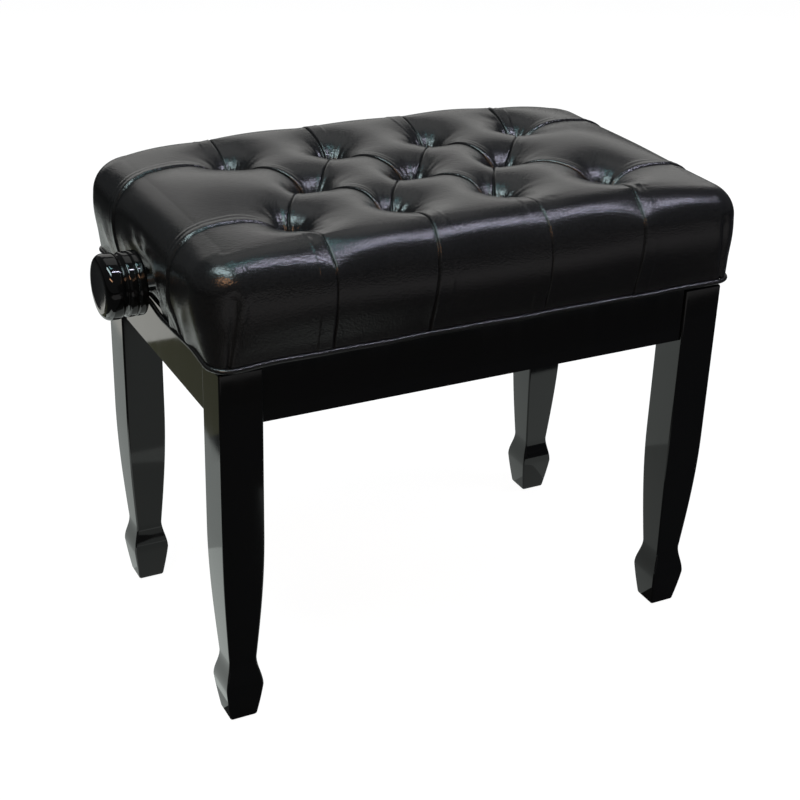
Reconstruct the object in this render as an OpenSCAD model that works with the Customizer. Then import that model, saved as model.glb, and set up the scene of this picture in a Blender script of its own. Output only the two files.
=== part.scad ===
// Height-adjustable piano bench with a deep-tufted seat.
// Origin: on the floor under the middle of the bench. +X along its length, +Y to its rear, +Z up.
// The seat is drawn at the bottom of its travel, resting just above the apron.

/* [Base] */
// Length of the base over its legs
base_length = 538; // [530:1:545]
// Depth of the base over its legs
base_depth = 320; // [316:1:326]
// Height of the leg and apron tops above the floor
base_height = 380; // [378:1:381]
// Side of the square part of a leg
leg_width = 42; // [38:1:43]
// Height of the apron boards
apron_height = 55; // [54:1:60]
// Thickness of the apron boards
apron_thickness = 20; // [18:1:20]
// How far the aprons stand back from the leg faces
apron_recess = 3; // [2:1:4]

/* [Leg shape] */
// Half width of a leg where it meets the floor
foot_half = 13.4; // [12:0.1:15]
// Half width of the spade foot at its widest
spade_half = 19.2; // [17:0.1:20]
// Height of the widest line of the spade foot
spade_height = 39.3; // [34:0.1:44]
// Half width of the ankle above the spade foot
ankle_half = 14.2; // [12:0.1:16]
// Height of the ankle
ankle_height = 69.5; // [60:0.5:80]
// Height at which the leg becomes square
taper_height = 210; // [180:5:260]

/* [Seat] */
// Length of the cushion
cushion_length = 558; // [556:1:566]
// Depth of the cushion
cushion_depth = 340; // [338:1:346]
// Height of the seat surface above the floor at its lowest
seat_height = 503; // [484:1:506]
// Radius of the cushion's rounded edges and corners
cushion_round = 22; // [18:1:26]
// Thickness of the leather
leather = 2; // [1.5:0.1:2.5]
// Depth of the tufted dimples
tuft_depth = 45; // [30:1:46]
// Spacing of the tufts along the length
tuft_pitch_x = 108.6; // [100:0.1:112]
// Spacing of the tuft rows, front to back
tuft_pitch_y = 82; // [80:1:92]

/* [Lifting gear] */
// Distance between the end pivots of a scissor arm
arm_length = 326; // [324:1:328]
// Width of the scissor arm bars
arm_width = 20; // [16:1:20]
// Thickness of the scissor arm bars
arm_thickness = 3; // [2.5:0.1:3]
// Radius of the pivot pins and cross bars
pivot_radius = 5; // [4:0.5:5]
// Radius of the lifting screw
screw_radius = 6; // [5:0.5:6]

/* [Knobs] */
// Largest radius of a knob
knob_radius = 31.4; // [29:0.1:33]
// Length of a knob along the screw
knob_length = 39.4; // [38:0.1:42]
// Distance from the middle of the bench to a knob's inner face
knob_inner = 286; // [284:1:290]

/* [Hidden] */
$fn = 48;

// Colours
LACQUER = [0.04, 0.04, 0.045];
LEATHER = [0.09, 0.09, 0.1];
TIMBER = [0.76, 0.62, 0.42];
PLYWOOD = [0.8, 0.68, 0.5];
STEEL = [0.62, 0.63, 0.65];
BLACK_STEEL = [0.16, 0.16, 0.17];
NYLON = [0.85, 0.84, 0.8];
FOAM = [0.93, 0.88, 0.66];

// Base
leg_in_x = base_length / 2 - leg_width;
leg_in_y = base_depth / 2 - leg_width;
leg_centre_x = base_length / 2 - leg_width / 2;
leg_centre_y = base_depth / 2 - leg_width / 2;
apron_out_x = base_length / 2 - apron_recess;
apron_out_y = base_depth / 2 - apron_recess;
apron_in_x = apron_out_x - apron_thickness;
apron_in_y = apron_out_y - apron_thickness;
apron_bottom = base_height - apron_height;
CORNERS = [[-1, -1], [1, -1], [-1, 1], [1, 1]];
SIDES = [-1, 1];

// Corner blocks stand at 45 degrees across each corner, 3 mm clear of the leg along x + y
block_out = leg_in_x + leg_in_y - 3;
block_in = block_out - 25.5;
block_bottom = base_height - 42;
block_top = base_height - 6;
block_mid = (block_bottom + block_top) / 2;
bolt_radius = 4;
bolt_tip = leg_centre_x + leg_centre_y;
bolt_tail = block_in - 16;
washer_thick = 1.6;
nut_thick = 6.5;
block_screw_wall = 9;
block_screw_radius = 2;

// Foot glides
glide_thick = 1.5;
glide_radius = 9;
glide_stem = 12;

// Lifting gear. Four scissor arms stand in two planes beside each long apron.
pivot_x = -163;
low_z = 340;
high_z = 410;
arm_angle = asin((high_z - low_z) / arm_length);
slide_x = pivot_x + arm_length * cos(arm_angle);
rail_half = 178;
rail_wall = 2;
rail_width = 12;
rail_height = 24;
rail_inner = rail_height - 2 * rail_wall;
web_y = apron_in_y - rail_wall;
outer_plane = web_y - 15;
inner_plane = outer_plane - 6;
running = 0.05;
open_play = 1.2;
glide_ring = rail_inner / 2 - open_play - 0.1;
glide_width = 9;
glide_end = web_y - 0.5;
spacer_radius = 8;
head_thick = 1.5;
rail_screw_x = [-130, -50, 30, 90];
rail_screw_radius = 2;
rail_screw_head = 4;
rail_screw_head_thick = 2.5;
rail_screw_length = 14;

// Seat box and board
box_half_x = 268;
box_half_y = 158;
box_wall = 18;
box_bottom = 391.5;
board_bottom = high_z + rail_height / 2;
board_thick = 12;
board_top = board_bottom + board_thick;
board_screw_length = 34;
board_screw_radius = 2;
board_screw_head = 4;
board_screw_head_thick = 2.5;
board_screw_xs = [-230, -80, 80, 230];

// Cushion
skin_bottom = 390;
hem_width = 27;
piping_radius = 2.5;
piping_x = cushion_length / 2 - piping_radius;
piping_y = cushion_depth / 2 - piping_radius;
piping_corner = cushion_round - piping_radius;
foam_play = 0.2;
TUFTS = [
    for (row = [-1, 0, 1])
        for (i = row == 0 ? [-1, 0, 1] : [-1.5, -0.5, 0.5, 1.5])
            [i * tuft_pitch_x, row * tuft_pitch_y]
];
tuft_floor = seat_height - tuft_depth;
tuft_mouth = 26;
tuft_throat = 10;
button_radius = 9;
button_thick = 5;
twine_radius = 0.8;
anchor_radius = 6;
anchor_thick = 4;

// Screw and knobs
shaft_hole = screw_radius + 1.5;
bush_radius = 9;
bush_flange = 11.5;
bush_flange_thick = 2;
collar_radius = 11;
collar_width = 8;
collar_gap = 0.3;
knob_bore_depth = 30;
grub_radius = 2.5;
grub_place = 14;
grub_length = 12;
screw_half = knob_inner + knob_bore_depth;

// Points on an arc about centre c, from angle a0 to angle a1
function arc(c, r, a0, a1, n = 6) =
    [for (i = [0:n]) let (a = a0 + (a1 - a0) * i / n) [c[0] + r * cos(a), c[1] + r * sin(a)]];

// Half width of a leg at height z: a spade foot, a narrow ankle and a gently swelling taper
function leg_half(z) =
    z < spade_height ?
        foot_half + (spade_half - foot_half) * (z / spade_height + sin(90 * z / spade_height)) / 2
    : z < ankle_height ?
        ankle_half + (spade_half - ankle_half)
            * (1 + cos(180 * (z - spade_height) / (ankle_height - spade_height))) / 2
    : z < taper_height ?
        ankle_half + (leg_width / 2 - ankle_half)
            * sin(90 * (z - ankle_height) / (taper_height - ankle_height))
    : leg_width / 2;

module rod_x(x0, x1, r) translate([x0, 0, 0]) rotate([0, 90, 0]) cylinder(h = x1 - x0, r = r);

module rod_y(y0, y1, r) translate([0, y0, 0]) rotate([-90, 0, 0]) cylinder(h = y1 - y0, r = r);

// Box centred on X and Y, from height z0 to z1
module slab(half_x, half_y, z0, z1)
    translate([-half_x, -half_y, z0]) cube([2 * half_x, 2 * half_y, z1 - z0]);

// Front-side shape, or its mirror image on the rear side
module on_side(side) mirror([0, side > 0 ? 1 : 0, 0]) children();

module on_both_sides() for (side = SIDES) on_side(side) children();

// Shape drawn for the front left corner, placed at a corner
module on_corner(corner)
    mirror([corner[0] > 0 ? 1 : 0, 0, 0]) mirror([0, corner[1] > 0 ? 1 : 0, 0]) children();

module on_corners() for (corner = CORNERS) on_corner(corner) children();

// ---- Base ----

module leg_outline() {
    heights = concat(
        [for (i = [0:5]) glide_thick + (spade_height - glide_thick) * i / 6],
        [for (i = [0:9]) spade_height + (ankle_height - spade_height) * i / 10],
        [for (i = [0:10]) ankle_height + (taper_height - ankle_height) * i / 10],
        [base_height]);
    right = [for (z = heights) [leg_half(z), z]];
    left = [for (i = [len(right) - 1:-1:0]) [-right[i][0], right[i][1]]];
    polygon(concat(right, left));
}

// A leg's outline run through along Y, which the same outline along X cuts to the square leg
module leg_profile_run()
    translate([0, spade_half * 2, 0]) rotate([90, 0, 0]) linear_extrude(4 * spade_half) leg_outline();

// Axis of a hanger bolt at the front left corner, from one x + y distance to another
module across_corner(from, to, r)
    translate([-leg_centre_x, -leg_centre_y, block_mid]) rotate([0, 0, 45])
        rod_x((bolt_tip - to) / sqrt(2), (bolt_tip - from) / sqrt(2), r);

module leg(corner) color(LACQUER) on_corner(corner) difference() {
    translate([-leg_centre_x, -leg_centre_y, 0]) intersection() {
        leg_profile_run();
        rotate([0, 0, 90]) leg_profile_run();
    }
    across_corner(block_out, bolt_tip, bolt_radius);
    translate([-leg_centre_x, -leg_centre_y, 0]) cylinder(h = glide_stem, r = bolt_radius / 2);
}

module long_apron(side) color(LACQUER) on_side(side) difference() {
    translate([-leg_in_x, -apron_out_y, apron_bottom]) cube([2 * leg_in_x, apron_thickness, apron_height]);
    on_screw_line(low_z) rod_y(-rail_screw_length - rail_wall, rail_wall, rail_screw_radius);
    for (side_x = SIDES) mirror([side_x > 0 ? 1 : 0, 0, 0]) block_screw_y(block_screw_radius);
}

module short_apron(side_x) color(LACQUER) mirror([side_x > 0 ? 1 : 0, 0, 0]) difference() {
    translate([-apron_out_x, -leg_in_y, apron_bottom]) cube([apron_thickness, 2 * leg_in_y, apron_height]);
    on_both_sides() block_screw_x(block_screw_radius);
}

// Places of the two screws that hold a front left corner block: into the long and the short apron
block_screw_at_x = (block_in + block_out) / 2 - apron_in_y;
block_screw_at_y = (block_in + block_out) / 2 - apron_in_x;
block_screw_length = block_screw_wall + 13;

module block_screw_y(r)
    translate([-block_screw_at_x, -apron_in_y + block_screw_wall, block_mid])
        rod_y(-block_screw_length, 0, r);

module block_screw_x(r)
    translate([-apron_in_x + block_screw_wall, -block_screw_at_y, block_mid])
        rod_x(-block_screw_length, 0, r);

module block_screw_head_y(r, length)
    translate([-block_screw_at_x, -apron_in_y + block_screw_wall, block_mid]) rod_y(0, length, r);

module block_screw_head_x(r, length)
    translate([-apron_in_x + block_screw_wall, -block_screw_at_y, block_mid]) rod_x(0, length, r);

module corner_block(corner) color(TIMBER) on_corner(corner) difference() {
    intersection() {
        translate([-apron_in_x, -apron_in_y, block_bottom])
            cube([apron_in_x, apron_in_y, block_top - block_bottom]);
        translate([0, 0, block_bottom]) linear_extrude(block_top - block_bottom)
            polygon([[-block_out, 0], [0, -block_out], [0, -block_in], [-block_in, 0]]);
    }
    across_corner(block_in - 5, block_out + 5, bolt_radius + 0.5);
    block_screw_y(block_screw_radius);
    block_screw_x(block_screw_radius);
    block_screw_head_y(rail_screw_head + 0.3, 2 * block_screw_wall);
    block_screw_head_x(rail_screw_head + 0.3, 2 * block_screw_wall);
}

module hanger_bolts() color(STEEL) on_corners() across_corner(bolt_tail, bolt_tip, bolt_radius);

module hanger_washers() color(STEEL) on_corners() difference() {
    across_corner(block_in - washer_thick * sqrt(2), block_in, 2.2 * bolt_radius);
    across_corner(block_in - 5, block_in + 1, bolt_radius + 0.2);
}

module hanger_nuts() color(STEEL) on_corners() difference() {
    translate([-leg_centre_x, -leg_centre_y, block_mid]) rotate([0, 0, 45])
        translate([(bolt_tip - block_in) / sqrt(2) + washer_thick, 0, 0])
            rotate([0, 90, 0]) cylinder(h = nut_thick, r = 1.85 * bolt_radius, $fn = 6);
    across_corner(bolt_tail - 1, block_in, bolt_radius);
}

module corner_block_screws() color(STEEL) on_corners() {
    block_screw_y(block_screw_radius);
    block_screw_head_y(rail_screw_head, rail_screw_head_thick);
    block_screw_x(block_screw_radius);
    block_screw_head_x(rail_screw_head, rail_screw_head_thick);
}

module foot_glides() color(BLACK_STEEL) on_corners() translate([-leg_centre_x, -leg_centre_y, 0]) {
    cylinder(h = glide_thick, r = glide_radius);
    cylinder(h = glide_stem, r = bolt_radius / 2);
}

// ---- Lifting gear ----

// Screw places along a rail, with the web's inner face as Y zero
module on_screw_line(z) for (x = rail_screw_x) translate([x, -web_y, z]) children();

// Channel with its web against the front side and its open side inward
module channel(z) translate([-rail_half, -web_y - rail_wall, z - rail_height / 2]) difference() {
    cube([2 * rail_half, rail_width, rail_height]);
    translate([-1, rail_wall, rail_wall]) cube([2 * rail_half + 2, rail_width, rail_inner]);
}

module lower_rail(side) color(BLACK_STEEL) on_side(side) difference() {
    channel(low_z);
    translate([pivot_x, -web_y, low_z]) rod_y(-2 * rail_wall, rail_wall, pivot_radius);
    on_screw_line(low_z) rod_y(-2 * rail_wall, rail_wall, rail_screw_radius);
}

module lower_rail_screws() color(STEEL) on_both_sides() on_screw_line(low_z) {
    rod_y(-rail_screw_length - rail_wall, 0, rail_screw_radius);
    rod_y(0, rail_screw_head_thick, rail_screw_head);
}

module lower_pivot_shaft() color(STEEL)
    translate([pivot_x, 0, low_z]) rod_y(-apron_in_y, apron_in_y, pivot_radius);

module ring_y(y0, y1, r_out, r_in) difference() {
    rod_y(y0, y1, r_out);
    rod_y(y0 - 1, y1 + 1, r_in);
}

module shaft_spacers() color(STEEL) on_both_sides() translate([pivot_x, 0, low_z])
    ring_y(-web_y + 0.2, -outer_plane - arm_thickness - 0.3, spacer_radius, pivot_radius);

module shaft_clips() color(BLACK_STEEL) on_both_sides() translate([pivot_x, 0, low_z])
    ring_y(-outer_plane + 0.3, -outer_plane + 0.3 + head_thick, spacer_radius, pivot_radius);

// Flat bar along +X with round ends and a hole at each end and in the middle
module arm_bar(first_hole, middle_hole, last_hole) difference() {
    union() {
        translate([0, -arm_thickness, -arm_width / 2]) cube([arm_length, arm_thickness, arm_width]);
        for (x = [0, arm_length]) translate([x, 0, 0]) rod_y(-arm_thickness, 0, arm_width / 2);
    }
    rod_y(-arm_thickness - 1, 1, first_hole);
    translate([arm_length / 2, 0, 0]) rod_y(-arm_thickness - 1, 1, middle_hole);
    translate([arm_length, 0, 0]) rod_y(-arm_thickness - 1, 1, last_hole);
}

module outer_arm(side) color(BLACK_STEEL) on_side(side)
    translate([pivot_x, -outer_plane, low_z]) rotate([0, -arm_angle, 0])
        arm_bar(pivot_radius + running, pivot_radius, pivot_radius + running);

module inner_arm(side) color(BLACK_STEEL) on_side(side)
    translate([pivot_x, -inner_plane, high_z]) rotate([0, arm_angle, 0])
        arm_bar(pivot_radius + running, pivot_radius + open_play, pivot_radius);

// Pin with a flat head on its inner end
module headed_pin(y_out, y_in) {
    rod_y(-y_out, -y_in, pivot_radius);
    rod_y(-y_in, -y_in + head_thick, spacer_radius);
}

module centre_pivot_pins() color(STEEL) on_both_sides()
    translate([pivot_x + arm_length / 2 * cos(arm_angle), 0, (low_z + high_z) / 2])
        headed_pin(outer_plane + arm_thickness, inner_plane - 0.5);

module upper_pivot_pins() color(STEEL) on_both_sides() translate([pivot_x, 0, high_z])
    headed_pin(web_y + rail_wall, inner_plane - 0.5);

module upper_pivot_spacers() color(STEEL) on_both_sides() translate([pivot_x, 0, high_z])
    ring_y(-web_y + 0.2, -inner_plane - arm_thickness - 0.3, spacer_radius, pivot_radius);

module slide_bar() color(STEEL)
    translate([slide_x, 0, low_z]) rod_y(-glide_end, glide_end, pivot_radius);

module glides_at(z) color(NYLON) on_both_sides() translate([slide_x, 0, z])
    ring_y(-glide_end, -glide_end + glide_width, glide_ring, pivot_radius);

module slide_bar_glides() glides_at(low_z);

module trunnion_glides() glides_at(high_z);

// Square cross bar with round journals, bored for the lifting screw
module trunnion_bar() {
    body_half = inner_plane - arm_thickness;
    color(STEEL) translate([slide_x, 0, high_z]) difference() {
        union() {
            translate([-arm_width * 0.6, -body_half, -arm_width / 2])
                cube([arm_width * 1.2, 2 * body_half, arm_width]);
            rod_y(-glide_end, glide_end, pivot_radius);
        }
        rod_x(-arm_width, arm_width, screw_radius + open_play);
    }
}

// ---- Seat ----

module upper_rail(side) color(BLACK_STEEL) on_side(side) difference() {
    channel(high_z);
    translate([pivot_x, -web_y, high_z]) rod_y(-2 * rail_wall, rail_wall, pivot_radius);
    on_board_screw_line() translate([0, 0, -2 * rail_wall]) cylinder(h = 3 * rail_wall, r = rail_screw_radius);
}

// Screw places in an upper rail's top flange, with the board's underside as Z zero
module on_board_screw_line()
    for (x = rail_screw_x) translate([x, -web_y + rail_width / 2 - rail_wall, board_bottom]) children();

module upper_rail_screws() color(STEEL) on_both_sides() on_board_screw_line() {
    translate([0, 0, -rail_wall]) cylinder(h = rail_wall + board_thick - 3, r = rail_screw_radius);
    translate([0, 0, -rail_wall - rail_screw_head_thick])
        cylinder(h = rail_screw_head_thick, r = rail_screw_head);
}

// Screws that hold the board to the long rails of the seat box
module on_board_edge() on_both_sides()
    for (x = board_screw_xs) translate([x, -box_half_y + box_wall / 2, board_top]) children();

module board_screw_shape() {
    translate([0, 0, -board_screw_length]) cylinder(h = board_screw_length, r = board_screw_radius);
    translate([0, 0, -board_screw_head_thick]) cylinder(h = board_screw_head_thick, r = board_screw_head);
}

module board_screws() color(STEEL) on_board_edge() board_screw_shape();

module seat_board() color(PLYWOOD) difference() {
    slab(box_half_x, box_half_y, board_bottom, board_top);
    on_board_edge() board_screw_shape();
    on_both_sides() on_board_screw_line() cylinder(h = board_thick - 3, r = rail_screw_radius);
    for (t = TUFTS) translate([t[0], t[1], board_bottom]) {
        cylinder(h = 3 * board_thick, r = twine_radius + 1);
        translate([0, 0, -1]) cylinder(h = 1 + anchor_thick + 1, r = anchor_radius + 0.5);
    }
}

module seat_box_long(side) color(TIMBER) on_side(side) difference() {
    translate([-box_half_x + box_wall, -box_half_y, box_bottom])
        cube([2 * (box_half_x - box_wall), box_wall, board_bottom - box_bottom]);
    on_board_edge() board_screw_shape();
}

module seat_box_end(side_x) color(TIMBER) mirror([side_x > 0 ? 1 : 0, 0, 0]) difference() {
    translate([-box_half_x, -box_half_y, box_bottom])
        cube([box_wall, 2 * box_half_y, board_bottom - box_bottom]);
    translate([0, 0, high_z]) rod_x(-box_half_x - 1, 0, bush_radius);
}

// Closed block with rounded corners and a rounded top edge
module pillow(half_x, half_y, z0, z1, r) {
    core_x = half_x - r;
    core_y = half_y - r;
    slab(core_x, half_y, z0, z1 - r);
    slab(half_x, core_y, z0, z1 - r);
    slab(core_x, core_y, z0, z1);
    for (x = SIDES * core_x) for (y = SIDES * core_y) translate([x, y, 0]) {
        translate([0, 0, z0]) cylinder(h = z1 - r - z0, r = r);
        translate([0, 0, z1 - r]) sphere(r);
    }
    for (y = SIDES * core_y) translate([0, y, z1 - r]) rod_x(-core_x, core_x, r);
    for (x = SIDES * core_x) translate([x, 0, z1 - r]) rod_y(-core_y, core_y, r);
}

// Cone of a tufted dimple, grown outward by a wall
module dimple(wall) translate([0, 0, tuft_floor - wall])
    cylinder(h = tuft_depth + 2 * wall, r1 = tuft_throat + wall, r2 = tuft_mouth + 2 * wall);

module leather_cover() color(LEATHER) difference() {
    union() {
        difference() {
            pillow(cushion_length / 2, cushion_depth / 2, skin_bottom, seat_height, cushion_round);
            pillow(cushion_length / 2 - leather, cushion_depth / 2 - leather,
                box_bottom, seat_height - leather, cushion_round - leather);
        }
        intersection() {
            for (t = TUFTS) translate([t[0], t[1], 0]) dimple(leather);
            slab(cushion_length / 2, cushion_depth / 2, skin_bottom, seat_height);
        }
    }
    for (t = TUFTS) translate([t[0], t[1], 0]) {
        dimple(0);
        translate([0, 0, board_top]) cylinder(h = tuft_depth, r = twine_radius);
    }
    slab(cushion_length / 2 - hem_width, cushion_depth / 2 - hem_width, skin_bottom - 1, box_bottom + 1);
    translate([0, 0, high_z]) rod_x(-cushion_length, cushion_length, shaft_hole);
}

module foam_pad() color(FOAM) difference() {
    pillow(cushion_length / 2 - leather - foam_play, cushion_depth / 2 - leather - foam_play,
        box_bottom + foam_play, seat_height - leather - foam_play, cushion_round - leather - foam_play);
    slab(box_half_x + foam_play, box_half_y + foam_play, box_bottom - 1, board_top + foam_play);
    for (t = TUFTS) translate([t[0], t[1], 0]) {
        dimple(leather + foam_play);
        translate([0, 0, board_bottom]) cylinder(h = tuft_depth + board_thick, r = twine_radius + 0.2);
    }
    translate([0, 0, high_z]) rod_x(-cushion_length, cushion_length, bush_radius);
}

// Welt cord sewn round the lower edge of the cover
module piping() {
    core_x = piping_x - piping_corner;
    core_y = piping_y - piping_corner;
    color(LEATHER) translate([0, 0, skin_bottom - piping_radius]) {
        for (y = SIDES * piping_y) translate([0, y, 0]) rod_x(-core_x, core_x, piping_radius);
        for (x = SIDES * piping_x) translate([x, 0, 0]) rod_y(-core_y, core_y, piping_radius);
        for (corner = [[1, 1, 0], [-1, 1, 90], [-1, -1, 180], [1, -1, 270]])
            translate([corner[0] * core_x, corner[1] * core_y, 0]) rotate([0, 0, corner[2]])
                rotate_extrude(angle = 90) translate([piping_corner, 0]) circle(piping_radius);
    }
}

module tufting_buttons() color(LEATHER) for (t = TUFTS) translate([t[0], t[1], tuft_floor])
    cylinder(h = button_thick, r = button_radius);

module tufting_twines() color(NYLON) for (t = TUFTS) translate([t[0], t[1], board_bottom + anchor_thick + 1])
    cylinder(h = tuft_floor - board_bottom - anchor_thick - 1, r = twine_radius);

module tufting_anchors() color(NYLON) for (t = TUFTS) translate([t[0], t[1], board_bottom + 1])
    cylinder(h = anchor_thick, r = anchor_radius);

// ---- Screw and knobs ----

module screw_bush(side_x) color(NYLON) mirror([side_x > 0 ? 1 : 0, 0, 0]) translate([0, 0, high_z])
    difference() {
        union() {
            rod_x(-box_half_x, -box_half_x + box_wall, bush_radius);
            rod_x(-box_half_x + box_wall, -box_half_x + box_wall + bush_flange_thick, bush_flange);
        }
        rod_x(-box_half_x - 1, 0, screw_radius + running);
    }

module lifting_screw() color(STEEL) translate([0, 0, high_z]) rod_x(-screw_half, screw_half, screw_radius);

module thrust_collars() {
    outer_face = box_half_x - box_wall - bush_flange_thick - collar_gap;
    color(STEEL) translate([0, 0, high_z]) for (side_x = SIDES) mirror([side_x > 0 ? 1 : 0, 0, 0])
        difference() {
            rod_x(-outer_face, -outer_face + collar_width, collar_radius);
            rod_x(-outer_face - 1, 0, screw_radius);
        }
}

// Turned outline of a knob: two rounded rings, a deep groove, then a fat rim round a dished face
module knob_outline() {
    ring_round = 2;
    ring_radius = knob_radius - 1.4;
    ring_core = ring_radius - ring_round;
    body_start = 20.5;
    shoulder = 3;
    rim = 5.5;
    dish_radius = knob_radius - 7.4;
    dish_depth = 6.5;
    dish_steps = 8;
    polygon(concat(
        [[screw_radius, 0]],
        arc([ring_core, ring_round], ring_round, -90, 0),
        arc([ring_core, 9 - ring_round], ring_round, 0, 90),
        arc([ring_core, 10 + ring_round], ring_round, -90, 0),
        arc([ring_core, 18 - ring_round], ring_round, 0, 90),
        [[ring_core - ring_round, 18], [ring_core - ring_round, body_start]],
        arc([knob_radius - shoulder, body_start + shoulder], shoulder, -90, 0),
        arc([knob_radius - rim, knob_length - rim], rim, 0, 90),
        [for (i = [0:dish_steps]) let (s = 1 - i / dish_steps)
            [dish_radius * s, knob_length - dish_depth * (1 - s * s)]],
        [[0, knob_bore_depth], [screw_radius, knob_bore_depth]]));
}

module knob(side_x) color(LACQUER) mirror([side_x > 0 ? 1 : 0, 0, 0])
    translate([-knob_inner, 0, high_z]) rotate([0, -90, 0]) difference() {
        rotate_extrude() knob_outline();
        translate([0, 0, grub_place]) rotate([0, -90, 0]) cylinder(h = 2 * knob_radius, r = grub_radius);
    }

module knob_set_screws() color(BLACK_STEEL) for (side_x = SIDES) mirror([side_x > 0 ? 1 : 0, 0, 0])
    translate([-knob_inner - grub_place, 0, high_z - screw_radius - grub_length])
        cylinder(h = grub_length - 0.2, r = grub_radius);

leg([-1, -1]);  // leg_front_left
leg([1, -1]);  // leg_front_right
leg([-1, 1]);  // leg_rear_left
leg([1, 1]);  // leg_rear_right
long_apron(-1);  // apron_front
long_apron(1);  // apron_rear
short_apron(-1);  // apron_left
short_apron(1);  // apron_right
corner_block([-1, -1]);  // corner_block_front_left
corner_block([1, -1]);  // corner_block_front_right
corner_block([-1, 1]);  // corner_block_rear_left
corner_block([1, 1]);  // corner_block_rear_right
hanger_bolts();
hanger_washers();
hanger_nuts();
corner_block_screws();
foot_glides();
lower_rail(-1);  // lower_rail_front
lower_rail(1);  // lower_rail_rear
lower_rail_screws();
lower_pivot_shaft();
shaft_spacers();
shaft_clips();
seat_board();
seat_box_long(-1);  // seat_box_front
seat_box_long(1);  // seat_box_rear
seat_box_end(-1);  // seat_box_left
seat_box_end(1);  // seat_box_right
board_screws();
foam_pad();
leather_cover();
piping();
tufting_buttons();
tufting_twines();
tufting_anchors();
upper_rail(-1);  // upper_rail_front
upper_rail(1);  // upper_rail_rear
upper_rail_screws();
upper_pivot_pins();
upper_pivot_spacers();
screw_bush(-1);  // screw_bush_left
screw_bush(1);  // screw_bush_right
lifting_screw();
knob(-1);  // knob_left
knob(1);  // knob_right
thrust_collars();
knob_set_screws();
outer_arm(-1);  // outer_arm_front
outer_arm(1);  // outer_arm_rear
centre_pivot_pins();
trunnion_bar();
trunnion_glides();
inner_arm(-1);  // inner_arm_front
inner_arm(1);  // inner_arm_rear
slide_bar();
slide_bar_glides();
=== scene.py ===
"""Looks of the height-adjustable piano bench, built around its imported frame.

Lengths are in metres, in the frame's own axes: +X along the bench, +Y to its rear, +Z up.
"""

import math

import bpy
import numpy as np
from mathutils import Matrix, Quaternion, Vector


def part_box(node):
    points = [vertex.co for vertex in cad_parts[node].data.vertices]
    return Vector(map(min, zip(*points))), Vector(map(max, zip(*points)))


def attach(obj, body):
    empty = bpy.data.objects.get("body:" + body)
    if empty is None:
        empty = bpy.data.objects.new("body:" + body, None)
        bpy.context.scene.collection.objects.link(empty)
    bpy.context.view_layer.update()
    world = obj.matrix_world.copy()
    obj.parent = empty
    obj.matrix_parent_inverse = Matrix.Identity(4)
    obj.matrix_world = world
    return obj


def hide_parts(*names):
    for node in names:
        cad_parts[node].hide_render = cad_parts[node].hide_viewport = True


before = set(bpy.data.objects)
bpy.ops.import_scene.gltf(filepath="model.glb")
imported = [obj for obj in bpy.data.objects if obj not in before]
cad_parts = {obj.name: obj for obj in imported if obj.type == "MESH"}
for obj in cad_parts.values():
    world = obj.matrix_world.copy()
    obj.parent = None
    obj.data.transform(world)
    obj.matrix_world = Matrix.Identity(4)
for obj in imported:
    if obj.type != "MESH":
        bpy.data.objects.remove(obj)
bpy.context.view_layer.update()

# ---- Places taken from the frame ----

cover_low, cover_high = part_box("leather_cover")
button_low, button_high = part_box("tufting_buttons")
piping_low, piping_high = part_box("piping")
knob_low, knob_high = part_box("knob_left")
seat_box_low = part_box("seat_box_left")[0]
board_low, board_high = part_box("seat_board")

BUTTON_RADIUS = 0.009
TUFT_STEP_X = (button_high.x - BUTTON_RADIUS) / 1.5     # the outer tufts are 1.5 steps from the middle
TUFT_STEP_Y = button_high.y - BUTTON_RADIUS
BUTTON_SEAT = button_low.z
SCREW_HEIGHT = (knob_low.z + knob_high.z) / 2
BOX_END = -seat_box_low.x                   # half the length of the seat's box
BOX_SIDE = -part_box("seat_box_front")[0].y   # and half its depth


# ---- Small helpers ----


def ease(value, start, end):
    """0 before start, 1 after end, and a smooth rise between them."""
    t = np.clip((value - start) / (end - start), 0, 1)
    return t * t * (3 - 2 * t)


def mesh_piece(name, points, faces, smooth=True):
    """A new object in the scene from arrays of points and faces."""
    mesh = bpy.data.meshes.new(name)
    mesh.from_pydata([tuple(p) for p in points], [], [tuple(f) for f in faces])
    mesh.validate()
    mesh.update()
    if smooth:
        mesh.polygons.foreach_set("use_smooth", [True] * len(mesh.polygons))
    piece = bpy.data.objects.new(name, mesh)
    bpy.context.scene.collection.objects.link(piece)
    return piece


def finish_piece(piece, body, slot, node):
    """Gives a piece its body and a slot with that slot's material, and hides the CAD node that it stands
    for.
    """
    piece.data.materials.append(LOOKS[slot])
    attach(piece, body)
    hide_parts(node)


def tube_faces(rings, around, first=0):
    """Quads between rings of points that follow each other in a piece's list, from its first."""
    faces = []
    for ring in range(rings - 1):
        for step in range(around):
            a = first + ring * around + step
            b = first + ring * around + (step + 1) % around
            faces.append((a, b, b + around, a + around))
    return faces


def rounded_rectangle(half_x, half_y, radius, steps):
    """Points once round a rectangle with rounded corners, and the way outward at each."""
    places, outs = [], []
    for corner, (side_x, side_y) in enumerate(((1, -1), (1, 1), (-1, 1), (-1, -1))):
        centre = np.array((side_x * (half_x - radius), side_y * (half_y - radius)))
        for step in range(steps + 1):
            angle = math.radians(90) * (corner - 1 + step / steps)
            outs.append(np.array((math.cos(angle), math.sin(angle))))
            places.append(centre + radius * outs[-1])
    return places, outs


# ---- Materials ----


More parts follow.
